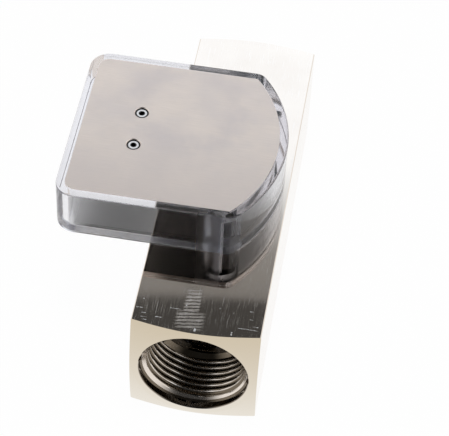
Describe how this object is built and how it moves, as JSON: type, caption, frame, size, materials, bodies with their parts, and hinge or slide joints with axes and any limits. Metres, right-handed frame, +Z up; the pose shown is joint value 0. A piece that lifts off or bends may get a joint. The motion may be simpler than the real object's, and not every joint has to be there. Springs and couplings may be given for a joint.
{
  "type": "variable area flow meter",
  "caption": "Square metal bar with a threaded port in each end and a sprung float inside; a magnetic pointer in a clear D-shaped case on top shows the flow.",
  "frame": {"origin": "middle of the bar's lower face", "axes": "+Y along the flow axis from the outlet to the inlet, +Z up out of the dial plate, +X away from the side on which the case overhangs"},
  "size_m": [0.0708, 0.131, 0.057],
  "materials": {
    "nickel_brass": "nickel plated, fine milled and polished",
    "clear_plastic": "clear, polished",
    "dial_steel": "fine satin brushed",
    "stainless": "turned, bright",
    "spring_steel": "drawn wire and spring strip",
    "plain_brass": "turned, bright",
    "white_bush": "smooth, slippery",
    "magnet_black": "sintered, coated",
    "pointer_black": "satin black",
    "seal_rubber": "moulded"
  },
  "bodies": {
    "meter": {"flow_body": "nickel_brass", "metering_sleeve": "plain_brass", "sleeve_seal": "seal_rubber", "inlet_spider": "stainless", "outlet_spider": "stainless", "inlet_retaining_ring": "spring_steel", "outlet_retaining_ring": "spring_steel", "guide_rod": "stainless", "guide_rod_nuts": "stainless", "no_flow_stop": "white_bush", "full_flow_stop": "stainless", "return_spring": "spring_steel", "clear_case": "clear_plastic", "case_screws": "stainless", "case_washers": "stainless", "dial_plate": "dial_steel", "dial_plate_screws": "stainless", "pivot_pin": "stainless", "pivot_washer": "white_bush", "pivot_clip": "spring_steel"},
    "float": {"float_body": "plain_brass", "float_magnet": "magnet_black", "float_nut": "plain_brass", "float_bushes": "white_bush"},
    "pointer": {"pointer_hub": "plain_brass", "pointer_arm": "pointer_black", "pointer_magnet": "magnet_black", "pointer_counterweight": "plain_brass"}
  },
  "joints": [
    {"name": "float_slide", "type": "slide", "parent": "meter", "child": "float", "axis": [0, -1, 0], "range_m": [0, 0.0348], "stiffness_N_per_m": 80, "springref_m": -0.01, "deforming": ["return_spring"]},
    {"name": "pointer_swing", "type": "hinge", "parent": "meter", "child": "pointer", "pos_m": [-0.03, 0, 0.045], "axis": [0, 0, -1], "range_deg": [0, 60.23]}
  ],
  "couplings": [
    {"joint": "pointer_swing", "follows": "float_slide", "rad_per_m": 30.2}
  ]
}
